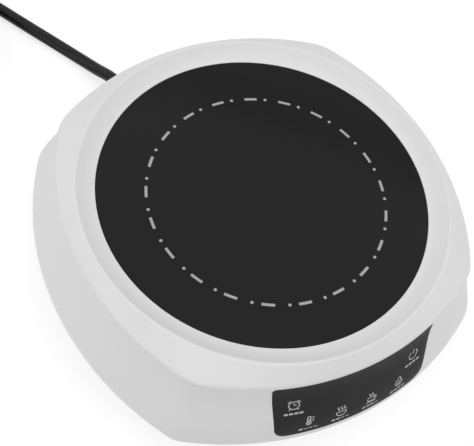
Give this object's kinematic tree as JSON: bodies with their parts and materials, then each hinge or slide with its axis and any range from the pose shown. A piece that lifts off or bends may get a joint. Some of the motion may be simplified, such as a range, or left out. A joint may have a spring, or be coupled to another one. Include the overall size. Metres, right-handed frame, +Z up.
{
  "type": "portable hot plate",
  "caption": "Table-top hot plate: round black glass plate in a white rounded-square body, with a curved touch panel on the front wall and a power cord at the back.",
  "frame": {"origin": "on the table, below the middle of the glass plate", "axes": "+Z up, -Y towards the control panel at the front, +X to the user's right"},
  "size_m": [0.2497, 0.3937, 0.0667],
  "materials": {
    "shell_white": "smooth white moulding with a soft sheen",
    "black_glass": "black glass, finely frosted on top",
    "seal_silicone": "soft grey silicone",
    "sheet_steel": "plain rolled sheet",
    "ceramic_fibre": "pressed mineral fibre, matt",
    "heater_alloy": "oxidised resistance alloy",
    "steatite": "unglazed ceramic",
    "black_plastic": "black moulding",
    "copper_wire": "enamelled copper wire",
    "board_green": "green circuit board",
    "relay_blue": "blue moulded case",
    "terminal_green": "green moulding",
    "fuse_metal": "tinned caps and clips",
    "tape_yellow": "ferrite core under yellow tape",
    "fin_aluminium": "extruded aluminium",
    "light_red": "tinted clear lens",
    "panel_black": "smooth black film with grey printed icons",
    "key_grey": "grey moulding",
    "foot_rubber": "dark rubber",
    "screw_steel": "plated steel",
    "wire_brown": "plastic wire covering",
    "wire_red": "heat-proof sleeve",
    "wire_yellow": "plastic wire covering",
    "cable_grey": "flat ribbon cable",
    "cord_black": "smooth black cord",
    "pin_brass": "plain brass"
  },
  "bodies": {
    "housing": {"upper_housing": "shell_white", "lower_housing": "shell_white", "glass_plate": "black_glass", "glass_seal": "seal_silicone", "heater_pan": "sheet_steel", "heater_insulation": "ceramic_fibre", "insulation_rim": "ceramic_fibre", "heating_ribbon": "heater_alloy", "thermal_limiter": "steatite", "heater_terminal": "steatite", "heater_crossbar": "sheet_steel", "heat_shield": "sheet_steel", "temperature_sensor": "copper_wire", "fan_frame": "black_plastic", "fan_coil": "copper_wire", "power_board": "board_green", "power_relay": "relay_blue", "mains_terminal": "terminal_green", "mains_fuse": "fuse_metal", "filter_capacitors": "relay_blue", "choke_coil": "copper_wire", "supply_transformer": "tape_yellow", "triac_heatsink": "fin_aluminium", "control_board": "board_green", "key_switches": "black_plastic", "indicator_lights": "light_red", "buzzer": "black_plastic", "panel_film": "panel_black", "rubber_feet": "foot_rubber", "housing_screws": "screw_steel", "heater_screws": "screw_steel", "shield_screws": "screw_steel", "fan_screws": "screw_steel", "board_screws": "screw_steel", "control_screws": "screw_steel", "clamp_screws": "screw_steel", "cord_strain_relief": "cord_black", "cord_clamp": "shell_white", "mains_leads": "wire_brown", "heater_leads": "wire_red", "fan_lead": "wire_yellow", "control_cable": "cable_grey", "power_cord_lead": "cord_black", "power_cord_coil": "cord_black", "cord_tie": "black_plastic", "plug_body": "cord_black", "plug_blades": "pin_brass", "plug_earth_pin": "pin_brass"},
    "fan": {"fan_rotor": "black_plastic"},
    "timer_key": {"key_timer": "key_grey"},
    "mode_1_key": {"key_mode_1": "key_grey"},
    "mode_2_key": {"key_mode_2": "key_grey"},
    "mode_3_key": {"key_mode_3": "key_grey"},
    "mode_4_key": {"key_mode_4": "key_grey"},
    "power_key": {"key_power": "key_grey"}
  },
  "joints": [
    {"name": "fan_spin", "type": "hinge", "parent": "housing", "child": "fan", "pos_m": [-0.03, 0.006, 0.0165], "axis": [0, 0, 1], "continuous": true},
    {"name": "timer_key_press", "type": "slide", "parent": "housing", "child": "timer_key", "axis": [0, 0.943, -0.3328], "range_m": [0, 0.0003], "stiffness_N_per_m": 4000},
    {"name": "mode_1_key_press", "type": "slide", "parent": "housing", "child": "mode_1_key", "axis": [0, 0.943, -0.3328], "range_m": [0, 0.0003], "stiffness_N_per_m": 4000},
    {"name": "mode_2_key_press", "type": "slide", "parent": "housing", "child": "mode_2_key", "axis": [0, 0.943, -0.3328], "range_m": [0, 0.0003], "stiffness_N_per_m": 4000},
    {"name": "mode_3_key_press", "type": "slide", "parent": "housing", "child": "mode_3_key", "axis": [0, 0.943, -0.3328], "range_m": [0, 0.0003], "stiffness_N_per_m": 4000},
    {"name": "mode_4_key_press", "type": "slide", "parent": "housing", "child": "mode_4_key", "axis": [0, 0.943, -0.3328], "range_m": [0, 0.0003], "stiffness_N_per_m": 4000},
    {"name": "power_key_press", "type": "slide", "parent": "housing", "child": "power_key", "axis": [0, 0.943, -0.3328], "range_m": [0, 0.0003], "stiffness_N_per_m": 4000}
  ]
}
